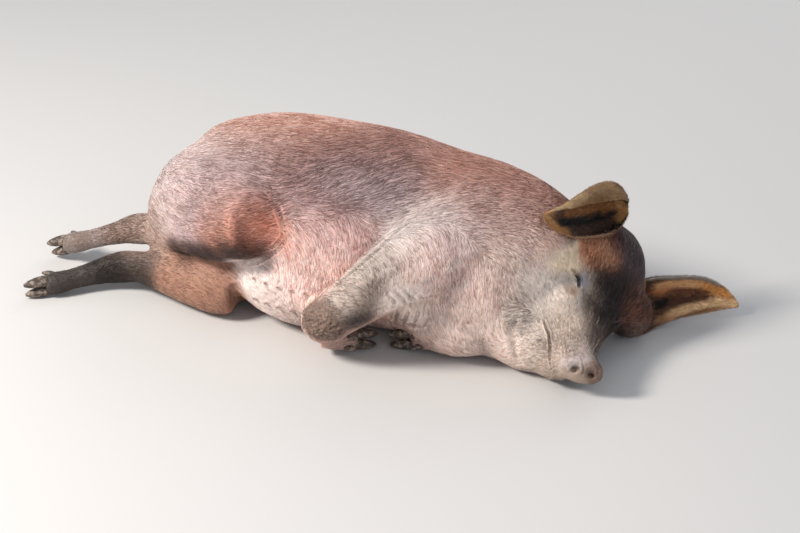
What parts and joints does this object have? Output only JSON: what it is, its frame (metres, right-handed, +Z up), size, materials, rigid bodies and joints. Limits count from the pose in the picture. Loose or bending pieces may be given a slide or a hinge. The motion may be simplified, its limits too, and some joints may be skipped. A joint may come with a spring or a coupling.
{
  "type": "duroc pig, sleeping life-size model",
  "caption": "Young red pig asleep on its left side, legs folded and stretched, head tucked, as a still life-size animal model.",
  "frame": {"origin": "on the floor plane under the middle of the belly, on the flat that the animal lies on", "axes": "+X along the body towards the head, +Y towards the side of the spine, -Y towards the belly and legs, +Z up"},
  "size_m": [1.233, 0.5523, 0.3472],
  "materials": {
    "hide": "matte skin under short flat reddish bristles",
    "hide_dark": "matte, darker and dusty on the legs",
    "ear_hide": "matte, thin orange-brown ear",
    "horn": "worn dark hoof horn with dried mud",
    "eye_gloss": "wet dark eye behind nearly closed lids"
  },
  "bodies": {
    "root": {"belly": "hide", "chest": "hide", "ear_left": "ear_hide", "ear_right": "ear_hide", "eye_left": "eye_gloss", "eye_right": "eye_gloss", "fore_left_arm": "hide_dark", "fore_left_claw_inner": "horn", "fore_left_claw_outer": "horn", "fore_left_dewclaw_inner": "horn", "fore_left_dewclaw_outer": "horn", "fore_left_foot": "hide_dark", "fore_right_arm": "hide_dark", "fore_right_claw_inner": "horn", "fore_right_claw_outer": "horn", "fore_right_dewclaw_inner": "horn", "fore_right_dewclaw_outer": "horn", "fore_right_foot": "hide_dark", "head": "hide", "hind_left_claw_inner": "horn", "hind_left_claw_outer": "horn", "hind_left_dewclaw_inner": "horn", "hind_left_dewclaw_outer": "horn", "hind_left_foot": "hide_dark", "hind_left_shank": "hide_dark", "hind_right_claw_inner": "horn", "hind_right_claw_outer": "horn", "hind_right_dewclaw_inner": "horn", "hind_right_dewclaw_outer": "horn", "hind_right_foot": "hide_dark", "hind_right_shank": "hide_dark", "lower_jaw": "hide", "neck": "hide", "rump": "hide", "snout": "hide", "tail": "hide"}
  },
  "joints": []
}
